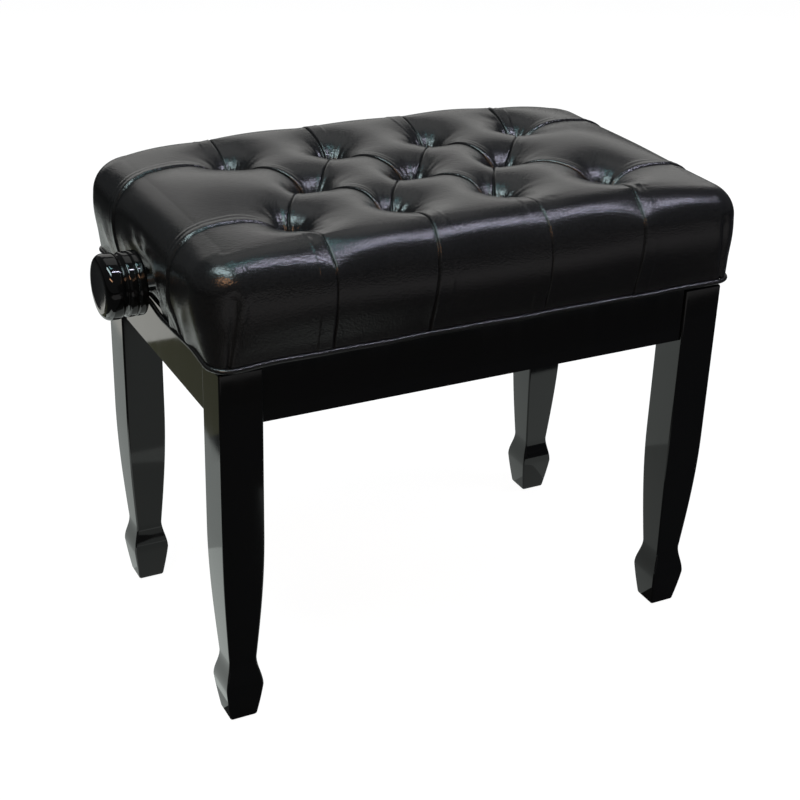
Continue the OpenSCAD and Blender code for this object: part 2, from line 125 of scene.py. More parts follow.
class Look:
    """A material with a Principled shader, and short ways to add the nodes that feed it."""

    def __init__(self, name, roughness=0.5, metallic=0.0, specular=0.5):
        self.material = bpy.data.materials.new(name)
        self.material.use_nodes = True
        self.tree = self.material.node_tree
        self.shader = self.tree.nodes["Principled BSDF"]
        self.shader.inputs["Roughness"].default_value = roughness
        self.shader.inputs["Metallic"].default_value = metallic
        self.shader.inputs["Specular IOR Level"].default_value = specular
        self.place = self.tree.nodes.new("ShaderNodeTexCoord").outputs["Object"]

    def put(self, source, socket):
        """Links an output to a socket."""
        self.tree.links.new(source, socket)

    def stretched(self, scale):
        """The object's own coordinates, scaled along each axis."""
        node = self.tree.nodes.new("ShaderNodeMapping")
        node.inputs["Scale"].default_value = scale
        self.put(self.place, node.inputs["Vector"])
        return node.outputs["Vector"]

    def noise(self, scale, detail=2.0, distortion=0.0, along=None):
        """Soft random patches."""
        node = self.tree.nodes.new("ShaderNodeTexNoise")
        node.inputs["Scale"].default_value = scale
        node.inputs["Detail"].default_value = detail
        node.inputs["Distortion"].default_value = distortion
        self.put(along or self.place, node.inputs["Vector"])
        return node.outputs["Fac"]

    def cells(self, scale, feature="F1"):
        """Random cells, as the distance from each one's middle."""
        node = self.tree.nodes.new("ShaderNodeTexVoronoi")
        node.feature = feature
        node.inputs["Scale"].default_value = scale
        self.put(self.place, node.inputs["Vector"])
        return node.outputs["Distance"]

    def remap(self, source, low, high, new_low=0.0, new_high=1.0):
        """An output spread from one range over another, and held at its ends."""
        node = self.tree.nodes.new("ShaderNodeMapRange")
        node.inputs["From Min"].default_value = low
        node.inputs["From Max"].default_value = high
        node.inputs["To Min"].default_value = new_low
        node.inputs["To Max"].default_value = new_high
        self.put(source, node.inputs["Value"])
        return node.outputs["Result"]

    def blend(self, factor, low_colour, high_colour):
        """A colour between two, by a factor. Each colour is a value or another output."""
        node = self.tree.nodes.new("ShaderNodeMix")
        node.data_type = "RGBA"
        self.put(factor, node.inputs["Factor"])
        sockets = [socket for socket in node.inputs if socket.type == "RGBA"]
        for socket, colour in zip(sockets, (low_colour, high_colour)):
            if isinstance(colour, tuple):
                socket.default_value = (*colour, 1)
            else:
                self.put(colour, socket)
        return next(socket for socket in node.outputs if socket.type == "RGBA")

    def bump(self, height, distance, strength, under=None):
        """A relief of a given height, laid over another one."""
        node = self.tree.nodes.new("ShaderNodeBump")
        node.inputs["Strength"].default_value = strength
        node.inputs["Distance"].default_value = distance
        self.put(height, node.inputs["Height"])
        if under is not None:
            self.put(under, node.inputs["Normal"])
        return node.outputs["Normal"]

    def dressed(self, colour, roughness, relief):
        """The material, once these outputs feed its shader."""
        self.put(colour, self.shader.inputs["Base Color"])
        self.put(roughness, self.shader.inputs["Roughness"])
        self.put(relief, self.shader.inputs["Normal"])
        return self.material


def leather_look():
    """Semi-gloss black leather: pebble grain, soft creasing, slightly uneven dye and polish."""
    look = Look("black_leather_look")
    grain = look.cells(560)
    fine_grain = look.noise(2100, detail=2)
    slack = look.noise(46, detail=3, distortion=0.6)
    dye = look.noise(14, detail=4)
    pebble = look.remap(grain, 0.0, 0.9, 0.0, 1.0)
    black = look.blend(look.remap(dye, 0.3, 0.7), (0.011, 0.0112, 0.012), (0.016, 0.0158, 0.0155))
    colour = look.blend(pebble, black, (0.005, 0.005, 0.0055))
    roughness = look.remap(dye, 0.3, 0.7, 0.20, 0.26)
    relief = look.bump(slack, 0.0004, 0.3)
    relief = look.bump(grain, 0.0002, 0.75, under=relief)
    relief = look.bump(fine_grain, 0.00006, 0.35, under=relief)
    return look.dressed(colour, roughness, relief)


def lacquer_look():
    """High-gloss black polyester lacquer with a trace of orange peel and fine wiping marks."""
    look = Look("black_lacquer_look")
    tone = look.noise(9, detail=3)
    haze = look.noise(60, detail=5, along=look.stretched((1, 1, 0.15)))
    peel = look.noise(260, detail=1)
    sway = look.noise(22, detail=1)
    colour = look.blend(tone, (0.0022, 0.0023, 0.0026), (0.0038, 0.0037, 0.0036))
    roughness = look.remap(haze, 0.35, 0.75, 0.05, 0.085)
    relief = look.bump(sway, 0.00012, 0.25)
    relief = look.bump(peel, 0.000004, 0.25, under=relief)
    return look.dressed(colour, roughness, relief)


def steel_look(name, colour, roughness, metallic):
    """Drawn steel: fine streaks along the bench and patchy plating."""
    look = Look(name, metallic=metallic)
    streaks = look.noise(900, detail=3, along=look.stretched((0.06, 1, 1)))
    patches = look.noise(55, detail=4)
    worn = tuple(min(1.0, c * 1.25 + 0.01) for c in colour)
    plating = look.blend(look.remap(patches, 0.35, 0.7), colour, worn)
    polish = look.remap(streaks, 0.3, 0.7, roughness - 0.07, roughness + 0.09)
    return look.dressed(plating, polish, look.bump(streaks, 0.00003, 0.4))


def powder_coat_look():
    """Satin black powder coat with its fine orange-peel texture."""
    look = Look("black_steel_look", roughness=0.42)
    peel = look.cells(1300, feature="SMOOTH_F1")
    dust = look.noise(40, detail=5)
    dusty = look.remap(dust, 0.4, 0.75)
    colour = look.blend(dusty, (0.017, 0.017, 0.018), (0.032, 0.032, 0.033))
    return look.dressed(colour, look.remap(dust, 0.3, 0.7, 0.36, 0.5), look.bump(peel, 0.00008, 0.5))


def timber_look(name, light, dark, ring_scale):
    """Sanded timber: grain that runs along the bench, growth rings and small pores."""
    look = Look(name, roughness=0.6, specular=0.35)
    lengthwise = look.stretched((0.12, 1, 1))
    rings = look.noise(ring_scale, detail=3, distortion=1.8, along=lengthwise)
    pores = look.noise(1500, detail=2, along=look.stretched((0.05, 1, 1)))
    colour = look.blend(look.remap(rings, 0.3, 0.7), light, dark)
    return look.dressed(colour, look.remap(pores, 0.3, 0.7, 0.52, 0.7), look.bump(pores, 0.00008, 0.5))


def nylon_look(name, colour, roughness):
    """Moulded nylon: faint mottling and a soft mould texture."""
    look = Look(name, roughness=roughness)
    mottle = look.noise(70, detail=3)
    texture = look.noise(1800, detail=2)
    paler = tuple(min(1.0, c * 1.12 + 0.004) for c in colour)
    dye = look.blend(mottle, colour, paler)
    polish = look.remap(mottle, 0.3, 0.7, roughness - 0.05, roughness + 0.06)
    return look.dressed(dye, polish, look.bump(texture, 0.00004, 0.4))


def foam_look():
    """Open-cell upholstery foam."""
    look = Look("foam_look", roughness=0.9, specular=0.2)
    pores = look.cells(650)
    stain = look.noise(12, detail=3)
    colour = look.blend(stain, (0.78, 0.66, 0.34), (0.85, 0.76, 0.46))
    return look.dressed(colour, look.remap(pores, 0.0, 0.8, 0.8, 0.98), look.bump(pores, 0.0006, 0.8))


LOOKS = {
    "black_lacquer": lacquer_look(),
    "black_leather": leather_look(),
    "timber": timber_look("timber_look", (0.56, 0.38, 0.21), (0.42, 0.26, 0.13), 70),
    "plywood": timber_look("plywood_look", (0.62, 0.46, 0.28), (0.5, 0.34, 0.19), 45),
    "foam": foam_look(),
    "steel": steel_look("steel_look", (0.5, 0.5, 0.51), 0.3, 1.0),
    "black_steel": powder_coat_look(),
    "nylon": nylon_look("nylon_look", (0.72, 0.7, 0.64), 0.42),
    "black_nylon": nylon_look("black_nylon_look", (0.015, 0.015, 0.016), 0.5),
}


# ---- Cushion: the shape of its surface ----

CELLS = 52                  # grid cells in half a tuft step along X, and in a whole one along Y
COARSE = 4                  # grid lines of the simulated copy and the foam are this many cells apart
FLAT_CELLS_X = 236          # cells from the middle to where a corner starts to turn
FLAT_CELLS_Y = 84
CORNER_CELLS = 12
CORNER = 0.008              # corner radius of the flat top, inside the rounded edge
EDGE_ROUND = 0.0310         # rounding from the top over into the sides
END_SHARE = 1.01            # how far the two ends swell out, as a share of the front and rear
EDGE_ROWS = 20              # rows of the grid over that rounding
SIDE_ROWS = 28              # rows from there down to the piping
RIM = 0.4842                # height of the top's border at the two ends
FUNNEL_REACH = 0.0165       # how fast a tuft's funnel opens out
CROWN_HALF = 0.254          # the seat starts to rise this far from its middle line
LONG_CROWN = 0.0135         # how much the front and rear edges rise from their ends to the middle
CROWN = 0.0072              # how much the middle of the seat stands above those edges
REAR_RISE = 0.0015          # how much higher the rear edge stands than the middle, and the front lower
END_CROWN = 0.0035          # extra swell of the large panels at the two ends
RIGHT_DROP = 0.0030         # how much lower the right end is than the left
FRONT_LEFT_DIP = 0.0030     # how much lower the front edge is near its left tuft, and where
FRONT_LEFT_PLACE = (-0.18, -0.115)
VALLEY = 0.0030             # depth of the valley along a fold between two tufts
VALLEY_WIDTH = 0.013        # distance at which a valley is down to about a third of its depth
BELLY = 0.0012              # extra swell of the sides between the rounded edge and the piping
PIPING_CORNER = 0.0195      # corner radius of the piping
HEM_TURN = 0.027            # how far the hem reaches in under the seat's box
LEATHER = 0.0013            # thickness of the hem
PIPING_RADIUS = (piping_high.z - piping_low.z) / 2
HEM_X = piping_high.x - PIPING_RADIUS       # the cover's lower edge stands on the piping
HEM_Y = piping_high.y - PIPING_RADIUS

cell_x = TUFT_STEP_X / 2 / CELLS
cell_y = TUFT_STEP_Y / CELLS
flat_x = FLAT_CELLS_X * cell_x
flat_y = FLAT_CELLS_Y * cell_y
top_x = flat_x + CORNER
top_y = flat_y + CORNER
side_top = RIM - EDGE_ROUND
side_bottom = cover_low.z - 0.0007
side_length = side_top - side_bottom
edge_arc = EDGE_ROUND * math.pi / 2
skirt_length = edge_arc + side_length

TUFTS = [
    (i * TUFT_STEP_X, row * TUFT_STEP_Y)
    for row in (-1, 0, 1)
    for i in ((-1, 0, 1) if row == 0 else (-1.5, -0.5, 0.5, 1.5))
]


class Fold:
    """A pleat in the leather, from one place to another on the flattened cover.

    lip is +1 or -1: the side, left or right of the way from start to end, whose leather lies on top.
    """

    def __init__(self, start, end, lip, steps, crease, gap, roll, widths=(0.7, 1.0), bow=0.0):
        self.start = np.array(start)
        self.way = np.array(end) - self.start
        self.length = float(np.linalg.norm(self.way))
        self.way /= self.length
        self.lip, self.steps, self.widths, self.bow = lip, steps, widths, bow
        self.crease, self.gap, self.roll = crease, gap, roll

    def measure(self, u, v):
        """Distance across the fold, positive on its lip's side, and along it from 0 to 1."""
        du, dv = u - self.start[0], v - self.start[1]
        across = (self.way[0] * dv - self.way[1] * du) * self.lip
        along = (self.way[0] * du + self.way[1] * dv) / self.length
        return across, along


# The folded layers beside a pleat's gap show as steps: (distance from the gap, height) of each.

HEAVY_STEPS = ((0.0052, 0.0006), (0.0092, 0.0004))
LIGHT_STEPS = ((0.0040, 0.0003),)
BOX_STEPS = ((0.0145, 0.0004),)
END_STEPS = ((0.006, 0.0006), (0.012, 0.0006))


def heavy_fold(start, end, lip, **changes):
    """A pleat with a dark gap and two folded layers beside it."""
    shape = dict(steps=HEAVY_STEPS, crease=0.0046, gap=0.0008, roll=0.0008)
    return Fold(start, end, lip, **{**shape, **changes})


def light_fold(start, end, lip, **changes):
    """A thin pleat, little more than a line."""
    shape = dict(steps=LIGHT_STEPS, crease=0.0040, gap=0.0007, roll=0.0004)
    return Fold(start, end, lip, **{**shape, **changes})


# How far the light pleats between two tufts bend sideways, in front of the middle row and behind it.
FRONT_BOW = -0.0105
REAR_BOW = 0.0065


def tuft_folds():
    """The diagonal pleats from the middle tufts to the ones in front and behind."""
    folds = []
    for i in (-1, 0, 1):
        middle = (i * TUFT_STEP_X, 0.0)
        for side in (-1, 1):
            rear = ((i + side / 2) * TUFT_STEP_X, TUFT_STEP_Y)
            front = ((i + side / 2) * TUFT_STEP_X, -TUFT_STEP_Y)
            # a pleat that runs from rear left to front right is heavy, and the other kind is light
            if side < 0:
                folds.append(heavy_fold(rear, middle, 1))
                folds.append(light_fold(middle, front, 1, bow=FRONT_BOW))
            else:
                folds.append(light_fold(rear, middle, 1, bow=REAR_BOW))
                folds.append(heavy_fold(middle, front, 1))
    return folds


diagonal_folds = tuft_folds()

# How far each pleat leans sideways on its way down to the piping: the front and rear ones from left
# to right, and the ones of the two ends from front to rear.
FRONT_LEANS = (0.0, -0.0115, 0.0015, -0.006)
REAR_LEANS = (0.003, -0.004, 0.006, 0.0)
LEFT_LEANS = (-0.006, -0.016)
RIGHT_LEANS = (0.004, -0.006)


def straight_folds():
    """The pleats from the outer tufts straight over the front, the rear and the two ends."""
    folds = []
    for column, i in enumerate((-1.5, -0.5, 0.5, 1.5)):
        x = i * TUFT_STEP_X
        heavy = column % 2 == 1
        kind = heavy_fold if heavy else light_fold
        right = 1 if heavy else -1
        changes = dict(steps=BOX_STEPS, widths=(0.45, 1.0))
        folds.append(kind((x, -TUFT_STEP_Y), (x, -top_y - skirt_length), right, **changes))
        folds.append(kind((x, TUFT_STEP_Y), (x, top_y + skirt_length), -right, **changes))
    for side in (-1, 1):
        for row in (-1, 1):
            start = (side * 1.5 * TUFT_STEP_X, row * TUFT_STEP_Y)
            end = (side * (top_x + skirt_length), row * TUFT_STEP_Y)
            kind = heavy_fold if row > 0 else light_fold
            folds.append(kind(start, end, side, steps=END_STEPS, widths=(0.5, 1.1)))
    return folds


outer_folds = straight_folds()


def funnel(distance):
    """Depth of a tuft's funnel as a share of its full depth, by distance from its middle."""
    beyond = np.maximum(distance - BUTTON_RADIUS * 0.8, 0)
    return np.exp(-((beyond / FUNNEL_REACH) ** 0.78))


def swell(x, y):
    """Height of the stuffed surface over the plan, before tufts and pleats pull it down."""
    along = np.clip(1 - np.abs(x / CROWN_HALF) ** 4.5, 0, 1)
    across = y / top_y
    rise = LONG_CROWN + CROWN * (1 - np.abs(across) ** 2.5) + REAR_RISE * across
    end_middle = 1.5 * TUFT_STEP_X + 0.045
    end_panel = np.exp(-(((np.abs(x) - end_middle) / 0.04) ** 2) - (y / 0.062) ** 2)
    dip_x, dip_y = FRONT_LEFT_PLACE
    front_left = np.exp(-(((x - dip_x) / 0.05) ** 2) - ((y - dip_y) / 0.045) ** 2)
    dips = RIGHT_DROP * ease(x, 0.11, 0.25) + FRONT_LEFT_DIP * front_left
    return RIM + along * rise + END_CROWN * end_panel - dips


def valleys(u, v, width):
    """How far the pleats pull the stuffed surface down, at places on the flattened cover."""
    total = np.zeros_like(u)
    for fold in diagonal_folds + outer_folds:
        across, along = fold.measure(u, v)
        inside = ease(along, 0.0, 0.2) * (along < 1.02)
        if fold in diagonal_folds:
            inside = inside * (1 - ease(along, 0.8, 1.0))
        else:
            inside = inside * (0.2 + 0.8 * np.exp(-((along * fold.length / 0.045) ** 2)))
        total += (inside * np.exp(-np.abs(across) / width)) ** 2
    return np.sqrt(total)


def tuft_distances(x, y):
    """Distances of places from each tuft."""
    return [np.hypot(x - tx, y - ty) for tx, ty in TUFTS]


def funnel_strengths():
    """Depth of each funnel, so that together they reach the buttons at every tuft."""
    places = np.array(TUFTS)
    shares = np.array([funnel(d) for d in tuft_distances(places[:, 0], places[:, 1])])
    wanted = swell(places[:, 0], places[:, 1]) - (BUTTON_SEAT + 0.0004)
    return np.linalg.solve(shares.T, wanted)


FUNNEL_DEPTHS = funnel_strengths()


def top_height(x, y):
    """Height of the top before its fine pleats."""
    drop = sum(depth * funnel(d) for depth, d in zip(FUNNEL_DEPTHS, tuft_distances(x, y)))
    return swell(x, y) - drop - VALLEY * valleys(x, y, VALLEY_WIDTH)


def grid_line(flat_cells, cell):
    """Grid places along one axis: even cells, then finer ones through the rounded corner."""
    even = np.arange(flat_cells + 1) * cell
    turning = even[-1] + np.arange(1, CORNER_CELLS + 1) * CORNER / CORNER_CELLS
    positive = np.concatenate([even, turning])
    return np.concatenate([-positive[:0:-1], positive])


def rounded_grid():
    """The top's grid in plan, with its four corners rounded."""
    x, y = np.meshgrid(grid_line(FLAT_CELLS_X, cell_x), grid_line(FLAT_CELLS_Y, cell_y))
    a = np.clip((np.abs(x) - flat_x) / CORNER, 0, 1)
    b = np.clip((np.abs(y) - flat_y) / CORNER, 0, 1)
    rounded_x = np.where(a > 0, flat_x + CORNER * a * np.sqrt(1 - b * b / 2), np.abs(x))
    rounded_y = np.where(b > 0, flat_y + CORNER * b * np.sqrt(1 - a * a / 2), np.abs(y))
    return np.sign(x) * rounded_x, np.sign(y) * rounded_y


def border_of(grid):
    """The grid's outer line, once round from its front left corner towards the right."""
    return np.concatenate([grid[0, :-1], grid[:-1, -1], grid[-1, :0:-1], grid[:0:-1, 0]])


def hem_wave(x, y):
    """How far the welt cord strays up or down from its line, by place."""
    wave = np.sin(43 * x + 60 * y + 1.0) + 0.7 * np.sin(88 * x - 35 * y + 2.1)
    wave += 0.6 * np.sin(19 * x + 97 * y)
    at_left = ease(-x, 0.20, 0.27)
    return 0.0003 * wave * (1 + 1.8 * at_left) + 0.0006 * at_left * np.sin(55 * y + 0.6)


def hem_outline(out, x, y):
    """Where a column of the side ends on the piping, from its direction and its place on the border."""
    corner_x, corner_y = HEM_X - PIPING_CORNER, HEM_Y - PIPING_CORNER
    # the straight parts stretch towards the tighter corners, but not where the pleats are
    stretch_x = x + np.sign(x) * (corner_x - flat_x) * ease(np.abs(x), 0.17, flat_x)
    stretch_y = y + np.sign(y) * (corner_y - flat_y) * ease(np.abs(y), 0.09, flat_y)
    place_x = np.clip(stretch_x, -corner_x, corner_x) + out[:, 0] * PIPING_CORNER
    place_y = np.clip(stretch_y, -corner_y, corner_y) + out[:, 1] * PIPING_CORNER
    place_x = np.where(np.abs(out[:, 0]) > 0.999, np.sign(out[:, 0]) * HEM_X, place_x)
    place_y = np.where(np.abs(out[:, 1]) > 0.999, np.sign(out[:, 1]) * HEM_Y, place_y)
    return place_x, place_y


class Cover:
    """The cover's surface as two joined grids: the top, and the skirt that hangs from its border."""

    def __init__(self):
        x, y = rounded_grid()
        self.top_u, self.top_v = x, y
        self.top = np.stack([x, y, top_height(x, y)], axis=-1)
        self.make_skirt()

    def make_skirt(self):
        """Rolls the top's border over into the sides, and draws them in to the piping."""
        edge_x, edge_y = border_of(self.top_u), border_of(self.top_v)
        edge_z = border_of(self.top[..., 2])
        out_x = edge_x - np.clip(edge_x, -flat_x, flat_x)
        out_y = edge_y - np.clip(edge_y, -flat_y, flat_y)
        size = np.hypot(out_x, out_y)
        self.out = np.stack([out_x / size, out_y / size], axis=-1)
        hem_x, hem_y = hem_outline(self.out, edge_x, edge_y)
        rows, self.skirt_u, self.skirt_v = [], [], []
        for row in range(1, EDGE_ROWS + SIDE_ROWS + 1):
            turned = min(row / EDGE_ROWS, 1) * math.pi / 2
            share = max(0, row - EDGE_ROWS) / SIDE_ROWS
            reach = EDGE_ROUND * math.sin(turned) + BELLY * math.sin(math.pi * min(1, share * 1.5))
            upper_x = edge_x + self.out[:, 0] * reach * END_SHARE
            upper_y = edge_y + self.out[:, 1] * reach
            drawn_in = share**1.5
            around_edge = edge_z - EDGE_ROUND * (1 - math.cos(turned))
            height = around_edge + (side_bottom - (edge_z - EDGE_ROUND)) * share
            height = height + hem_wave(hem_x, hem_y) * share**3
            place_x = upper_x + (hem_x - upper_x) * drawn_in
            place_y = upper_y + (hem_y - upper_y) * drawn_in
            rows.append(np.stack([place_x, place_y, height], axis=-1))
            run = EDGE_ROUND * turned + side_length * share
            self.skirt_u.append(edge_x + self.out[:, 0] * run)
            self.skirt_v.append(edge_y + self.out[:, 1] * run)
        self.skirt = np.array(rows)
        self.skirt_u, self.skirt_v = np.array(self.skirt_u), np.array(self.skirt_v)

    def flat(self):
        """Places of all points on the flattened cover."""
        u = np.concatenate([self.top_u.ravel(), self.skirt_u.ravel()])
        v = np.concatenate([self.top_v.ravel(), self.skirt_v.ravel()])
        return u, v

    def points(self):
        """All points, the top's first and then the skirt's, ring by ring."""
        return np.concatenate([self.top.reshape(-1, 3), self.skirt.reshape(-1, 3)])

    def set_points(self, points):
        """Moves all points, given in the same order."""
        count = self.top_u.size
        self.top = points[:count].reshape(self.top.shape)
        self.skirt = points[count:].reshape(self.skirt.shape)

    def indices(self):
        """Point numbers of the top, and of each ring of the skirt with the top's border as ring 0."""
        count = self.top_u.size
        top = np.arange(count).reshape(self.top_u.shape)
        border = border_of(top)
        rings = [border]
        for row in range(len(self.skirt)):
            rings.append(count + row * len(border) + np.arange(len(border)))
        return top, rings

    def normals(self):
        """Outward unit normals at all points."""
        top, rings = self.indices()
        return point_normals(self.points(), np.concatenate([grid_quads(top), ring_faces(rings)]))


def ring_faces(rings):
    """Quads between rings of equal length, one below the other, facing outward."""
    faces = []
    for upper, lower in zip(rings, rings[1:]):
        faces.append(np.stack([upper, lower, np.roll(lower, -1), np.roll(upper, -1)], axis=-1))
    return np.concatenate(faces)


def grid_quads(top):
    """Quads between the lines of a grid of point numbers."""
    return np.stack([top[:-1, :-1], top[:-1, 1:], top[1:, 1:], top[1:, :-1]], axis=-1).reshape(-1, 4)


def split_top(top, u, v):
    """Two triangles to a quad, split along the pleat that crosses this part of the pattern."""
    quads = grid_quads(top)
    middle_u = (u[:-1, :-1] + u[1:, 1:]).ravel() / 2
    middle_v = (v[:-1, :-1] + v[1:, 1:]).ravel() / 2
    column = np.floor(middle_u / (TUFT_STEP_X / 2)).astype(int)
    row = np.floor(middle_v / TUFT_STEP_Y).astype(int)
    rising = (column + row) % 2 == 0
    a, b, c, d = quads.T
    first = np.where(rising[:, None], np.stack([a, b, c], -1), np.stack([a, b, d], -1))
    second = np.where(rising[:, None], np.stack([a, c, d], -1), np.stack([b, c, d], -1))
    return np.concatenate([first, second])


def point_normals(points, faces):
    """Outward unit normals at the points of a mesh of quads."""
    a, b, c, d = (points[faces[:, i]] for i in range(4))
    face_normals = np.cross(c - a, d - b)
    total = np.zeros_like(points)
    for i in range(4):
        np.add.at(total, faces[:, i], face_normals)
    return total / np.maximum(np.linalg.norm(total, axis=1, keepdims=True), 1e-12)


# ---- Cushion: its closed underside, and the cloth simulation of a coarse copy ----

CLOTH_FRAMES = 20
CLOTH_PRESSURE = 4.0
CLOTH_CAP = 0.006           # the furthest that a point may move


def fitted_ring(ring, half_x, half_y, height):
    """A ring of points scaled in plan to new half sizes, at one height."""
    reach_x, reach_y = np.abs(ring[:, :2]).max(axis=0)
    return ring * (half_x / reach_x, half_y / reach_y, 0) + (0, 0, height)


def underside_rings(last, roof):
    """Rings that turn the skirt's last ring in under the seat's box and up inside it, to its board."""
    half_x, half_y = np.abs(last[:, :2]).max(axis=0)
    inner_x, inner_y = cover_high.x - HEM_TURN, cover_high.y - HEM_TURN
    low = last[:, 2].mean()
    shapes = (
        (half_x - 0.004, half_y - 0.004, low - 0.0002),
        (inner_x + 0.001, inner_y + 0.001, low),
        (inner_x, inner_y, low + LEATHER / 2),
        (inner_x + 0.002, inner_y + 0.002, low + LEATHER),
        (inner_x + 0.008, inner_y + 0.008, low + LEATHER),
        (inner_x + 0.008, inner_y + 0.008, roof),
    )
    return [fitted_ring(last, *shape) for shape in shapes]


def closed_below(points, rings, under, level):
    """Adds more rings after the last one and a middle point that closes them, with all ring faces."""
    for ring in under:
        rings = [*rings, len(points) + np.arange(len(ring))]
        points = np.concatenate([points, ring])
    middle = len(points)
    points = np.concatenate([points, [[0, 0, level]]])
    faces = [list(face) for face in ring_faces(rings)]
    faces += [[int(a), middle, int(b)] for a, b in zip(rings[-1], np.roll(rings[-1], -1))]
    return points, faces


def coarse_copy(cover):
    """The cover's points on every COARSE-th grid line, and their own numbers as a top and rings."""
    top, rings = cover.indices()
    top = top[::COARSE, ::COARSE]
    rings = [ring[::COARSE] for ring in rings[::COARSE]]
    used = np.unique(np.concatenate([top.ravel(), *rings]))
    number = np.full(len(cover.points()), -1)
    number[used] = np.arange(len(used))
    return used, number[top], [number[ring] for ring in rings]


def held_shares(places, u, v):
    """How firmly the cloth is held at each point: at the tufts, the piping, the shaft and the pleats."""
    near_tuft = np.min(tuft_distances(u, v), axis=0)
    tufts = 1 - ease(near_tuft, BUTTON_RADIUS, BUTTON_RADIUS + 0.008)
    bottom = ease(cover_low.z + 0.014 - places[:, 2], 0, 0.012)
    shaft = 1 - ease(np.hypot(places[:, 1], places[:, 2] - SCREW_HEIGHT), 0.010, 0.030)
    shaft = shaft * (np.abs(places[:, 0]) > top_x)
    pleats = 0.35 * valleys(u, v, 0.004)
    return np.clip(np.maximum.reduce([tufts, bottom, shaft, pleats]), 0, 1)


def add_cloth(body):
    """Leather under pressure from inside, pinned by the vertex group called held."""
    cloth = body.modifiers.new("cloth", "CLOTH")
    settings = cloth.settings
    settings.quality = 6
    settings.mass = 0.35
    settings.tension_stiffness = 25
    settings.compression_stiffness = 20
    settings.shear_stiffness = 12
    settings.bending_stiffness = 3
    settings.use_pressure = True
    settings.uniform_pressure_force = CLOTH_PRESSURE
    settings.vertex_group_mass = "held"
    settings.pin_stiffness = 2.0
    settings.effector_weights.gravity = 0
    cloth.collision_settings.use_collision = False
    cloth.point_cache.frame_start = 1
    cloth.point_cache.frame_end = CLOTH_FRAMES


def simulate_cover(cover):
    """Lets pressure swell a coarse copy of the cover between its tufts, and moves the cover with it."""
    used, small_top, small_rings = coarse_copy(cover)
    u, v = cover.flat()
    start = cover.points()[used]
    last = small_rings[-1]
    # a smaller ring and a cap close the copy below
    closing = len(used) + np.arange(len(last))
    everything = np.concatenate([start, start[last] * (0.8, 0.8, 1.0)])
    faces = np.concatenate([grid_quads(small_top), ring_faces([*small_rings, closing])])
    body = mesh_piece("cover_simulation", everything, [*map(list, faces), list(closing[::-1])])
    group = body.vertex_groups.new(name="held")
    for index, share in enumerate(held_shares(start, u[used], v[used])):
        group.add([index], float(share), "REPLACE")
    group.add([int(i) for i in closing], 1.0, "REPLACE")
    add_cloth(body)
    for step in range(1, CLOTH_FRAMES + 1):
        bpy.context.scene.frame_set(step)
    evaluated = body.evaluated_get(bpy.context.evaluated_depsgraph_get())
    moved = np.array([p.co for p in evaluated.data.vertices])[: len(used)] - start
    bpy.context.scene.frame_set(1)
    bpy.data.objects.remove(body)

    size = np.linalg.norm(moved, axis=1, keepdims=True)
    moved *= np.minimum(1, CLOTH_CAP / np.maximum(size, 1e-9))
    top, rings = cover.indices()
    points = cover.points()
    points[top.ravel()] += spread(moved[small_top], (False, False)).reshape(-1, 3)
    ring_moves = spread(np.array([moved[ring] for ring in small_rings]), (False, True))
    for ring, move in zip(rings[1:], ring_moves[1:]):
        points[ring] += move
    cover.set_points(points)


def spread(field, wraps):
    """A field known on coarse grid lines, filled in on the lines between and smoothed."""
    for axis in (0, 1):
        count = field.shape[axis]
        steps = count * COARSE if wraps[axis] else (count - 1) * COARSE + 1
        place = np.arange(steps) / COARSE
        low = np.floor(place).astype(int)
        share = place - low
        high = (low + 1) % count if wraps[axis] else np.minimum(low + 1, count - 1)
        shape = [1, 1, 1]
        shape[axis] = -1
        share = share.reshape(shape)
        field = np.take(field, low, axis) * (1 - share) + np.take(field, high, axis) * share
    for _ in range(3):
        for axis in (0, 1):
            before, after = np.roll(field, 1, axis), np.roll(field, -1, axis)
            if not wraps[axis]:
                first = [slice(None)] * 3
                last = [slice(None)] * 3
                first[axis], last[axis] = slice(0, 1), slice(-1, None)
                before[tuple(first)] = field[tuple(first)]
                after[tuple(last)] = field[tuple(last)]
            field = (before + 2 * field + after) / 4
    return field


# ---- Cushion: pleats, puckers and the pull of the shaft ----

# Soft folds of the two end faces: (place along Y, lean with height, half width, height) of each.
END_FOLDS = (
    (-0.040, -0.35, 0.008, 0.0022),
    (-0.075, -0.55, 0.009, 0.0026),
    (-0.112, -0.30, 0.010, 0.0022),
    (0.036, 0.40, 0.008, 0.0020),
    (0.100, 0.25, 0.012, 0.0014),
)


def fold_relief(fold, across, along):
    """Height of a pleat's relief, and how far the leather beside the gap leans over it."""
    live = ease(along, -0.02, 0.03) * (1 - ease(along, 0.985, 1.01))
    middle = ease(along, 0.02, 0.30)
    if fold in diagonal_folds:
        middle = middle * (1 - ease(along, 0.70, 0.98))
    lip_side = np.maximum(across, 0)
    width = fold.widths[0] + (fold.widths[1] - fold.widths[0]) * middle
    relief = np.zeros_like(across)
    for place, height in fold.steps:
        edge = place * width
        # a layer lies from the gap to its edge, and its edge is a small rounded step down
        layer = (1 - ease(lip_side, edge - 0.0007, edge + 0.0011)) * ease(lip_side, 0.0, 0.0012)
        ridge = 0.35 * np.exp(-(((lip_side - edge + 0.0010) / 0.0010) ** 2))
        relief += height * (layer + ridge) * (0.3 + 0.7 * middle) * (across > 0)
    over = np.exp(-np.maximum(across - 0.0012, 0) / 0.004) * (across > 0)
    under = np.exp(np.minimum(across + 0.0012, 0) / 0.004) * (across <= 0)
    rolled = fold.roll * (over + 0.6 * under)
    gap = -(fold.crease + rolled) * np.exp(-((across / fold.gap) ** 2))
    lean = -0.0006 * np.exp(-((across - 0.0014) / 0.0016) ** 2) * (across > 0)
    return (relief + rolled * middle + gap) * live, lean * live


